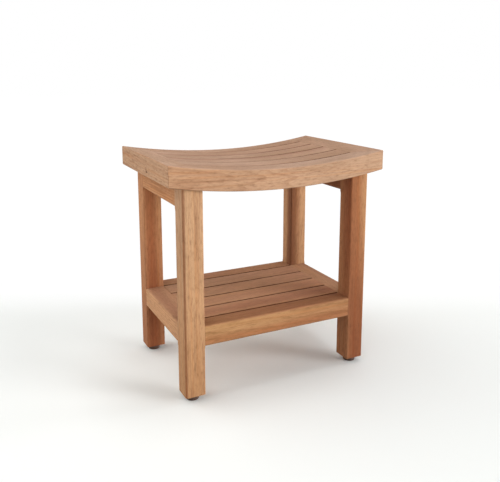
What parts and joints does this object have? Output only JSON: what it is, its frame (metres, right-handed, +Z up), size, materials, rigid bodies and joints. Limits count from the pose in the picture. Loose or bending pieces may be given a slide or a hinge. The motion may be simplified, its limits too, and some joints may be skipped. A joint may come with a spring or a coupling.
{
  "type": "shower stool",
  "caption": "Slatted teak shower stool with a dished seat frame on square legs, a slatted lower shelf and round screw-in levelling feet.",
  "frame": {"origin": "on the floor, under the centre of the seat", "axes": "+X along the length, towards the right end seen from the front; +Y from the front to the back; +Z up"},
  "size_m": [0.457, 0.3, 0.4566],
  "materials": {
    "wood_seat": "satin oiled teak, fine straight grain, a little greyed on top",
    "wood_rail": "satin oiled teak, straight grain",
    "wood_shelf": "satin oiled teak, straight grain, darker red-brown",
    "wood_leg": "satin oiled teak, grain along the leg",
    "wood_joinery": "plain unfinished hardwood",
    "foot_plastic": "matt dark brown moulded plastic",
    "foot_steel": "plain turned steel",
    "brass": "turned brass"
  },
  "bodies": {
    "stool_frame": {"seat_rail_front": "wood_seat", "seat_rail_back": "wood_seat", "seat_end_left": "wood_seat", "seat_end_right": "wood_seat", "seat_slat_1": "wood_seat", "seat_slat_2": "wood_seat", "seat_slat_3": "wood_seat", "seat_slat_4": "wood_seat", "shelf_rail_front": "wood_rail", "shelf_rail_back": "wood_rail", "shelf_end_left": "wood_shelf", "shelf_end_right": "wood_shelf", "shelf_slat_1": "wood_shelf", "shelf_slat_2": "wood_shelf", "shelf_slat_3": "wood_shelf", "shelf_slat_4": "wood_shelf", "side_rail_left": "wood_rail", "side_rail_right": "wood_rail", "leg_front_left": "wood_leg", "leg_front_right": "wood_leg", "leg_back_left": "wood_leg", "leg_back_right": "wood_leg", "corner_spline_front_left": "wood_joinery", "corner_spline_front_right": "wood_joinery", "corner_spline_back_left": "wood_joinery", "corner_spline_back_right": "wood_joinery", "leg_dowel_front_left": "wood_joinery", "leg_dowel_front_right": "wood_joinery", "leg_dowel_back_left": "wood_joinery", "leg_dowel_back_right": "wood_joinery", "foot_insert_front_left": "brass", "foot_insert_front_right": "brass", "foot_insert_back_left": "brass", "foot_insert_back_right": "brass"},
    "foot_front_left": {"foot_pad_front_left": "foot_plastic", "foot_stud_front_left": "foot_steel"},
    "foot_front_right": {"foot_pad_front_right": "foot_plastic", "foot_stud_front_right": "foot_steel"},
    "foot_back_left": {"foot_pad_back_left": "foot_plastic", "foot_stud_back_left": "foot_steel"},
    "foot_back_right": {"foot_pad_back_right": "foot_plastic", "foot_stud_back_right": "foot_steel"}
  },
  "joints": [
    {"name": "front_left_foot_screw", "type": "slide", "parent": "stool_frame", "child": "foot_front_left", "axis": [0, 0, -1], "range_m": [0, 0.008]},
    {"name": "front_right_foot_screw", "type": "slide", "parent": "stool_frame", "child": "foot_front_right", "axis": [0, 0, -1], "range_m": [0, 0.008]},
    {"name": "back_left_foot_screw", "type": "slide", "parent": "stool_frame", "child": "foot_back_left", "axis": [0, 0, -1], "range_m": [0, 0.008]},
    {"name": "back_right_foot_screw", "type": "slide", "parent": "stool_frame", "child": "foot_back_right", "axis": [0, 0, -1], "range_m": [0, 0.008]}
  ]
}
